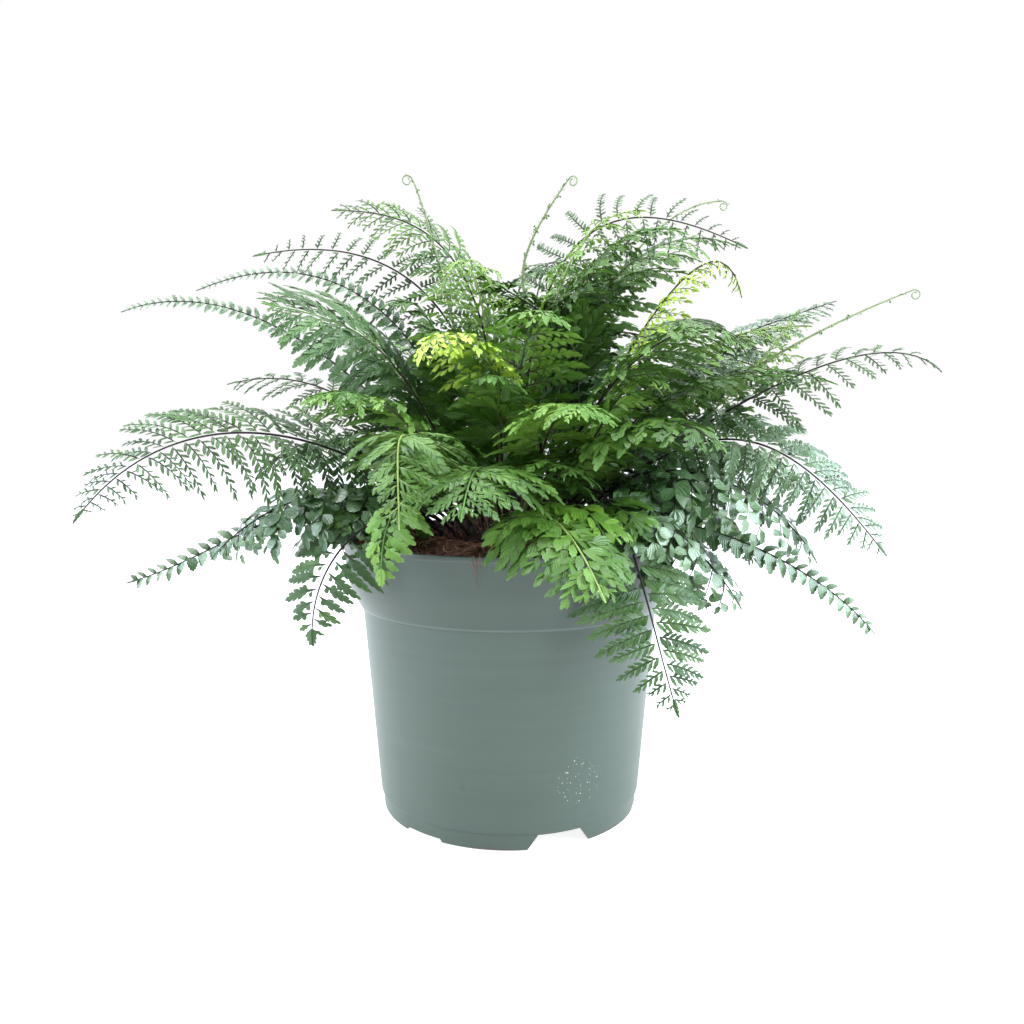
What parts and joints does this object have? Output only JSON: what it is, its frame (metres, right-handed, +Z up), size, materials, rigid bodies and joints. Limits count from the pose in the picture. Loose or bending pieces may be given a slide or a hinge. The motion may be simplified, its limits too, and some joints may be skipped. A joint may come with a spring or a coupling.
{
  "type": "potted fern",
  "caption": "Spleenwort fern with arching, finely divided fronds and young croziers, growing in a round, collared nursery pot with notched foot.",
  "frame": {"origin": "centre of the pot's foot, on the surface that the pot stands on", "axes": "+Z up; +X to the right and +Y away from the viewer, as the plant is pictured from the front"},
  "size_m": [0.4578, 0.3186, 0.3536],
  "materials": {
    "pot_plastic": "matte",
    "soil": "matte",
    "rhizome": "matte",
    "leaf": "satin",
    "glossy_leaf": "gloss",
    "young_leaf": "satin"
  },
  "bodies": {
    "root": {"pot": "pot_plastic", "soil": "soil", "crown": "rhizome", "crozier_top": "young_leaf", "crozier_left": "young_leaf", "crozier_high": "young_leaf", "crozier_right": "young_leaf", "crozier_back": "young_leaf", "low_left": "glossy_leaf", "low_front_left": "glossy_leaf", "hang_left": "glossy_leaf", "hang_lime": "young_leaf", "front_lime": "young_leaf", "low_front": "glossy_leaf", "hang_right": "glossy_leaf", "glossy_right": "glossy_leaf", "low_front_right": "glossy_leaf", "low_right": "glossy_leaf", "low_back_right": "glossy_leaf", "low_back": "glossy_leaf", "low_back_left": "glossy_leaf", "arch_left": "leaf", "front_left": "leaf", "front_glossy": "leaf", "front_broad": "leaf", "front_right": "leaf", "side_front": "leaf", "side_right": "leaf", "arch_right": "leaf", "mid_far_right": "leaf", "mid_back_right": "leaf", "mid_back": "leaf", "mid_back_left": "leaf", "mid_left": "leaf", "high_left": "leaf", "high_far_left": "leaf", "high_front_left": "leaf", "young_lime": "young_leaf", "high_front": "leaf", "high_front_right": "leaf", "high_right": "leaf", "lime_right": "young_leaf", "upper_right": "leaf", "high_back_right": "leaf", "high_back": "leaf", "high_back_left": "leaf", "top_right": "leaf", "top_mid_right": "leaf", "lime_hanging": "young_leaf", "top_left": "leaf", "top_far_left": "leaf", "top_front": "leaf", "front_inner": "glossy_leaf", "top_back": "leaf"}
  },
  "joints": []
}
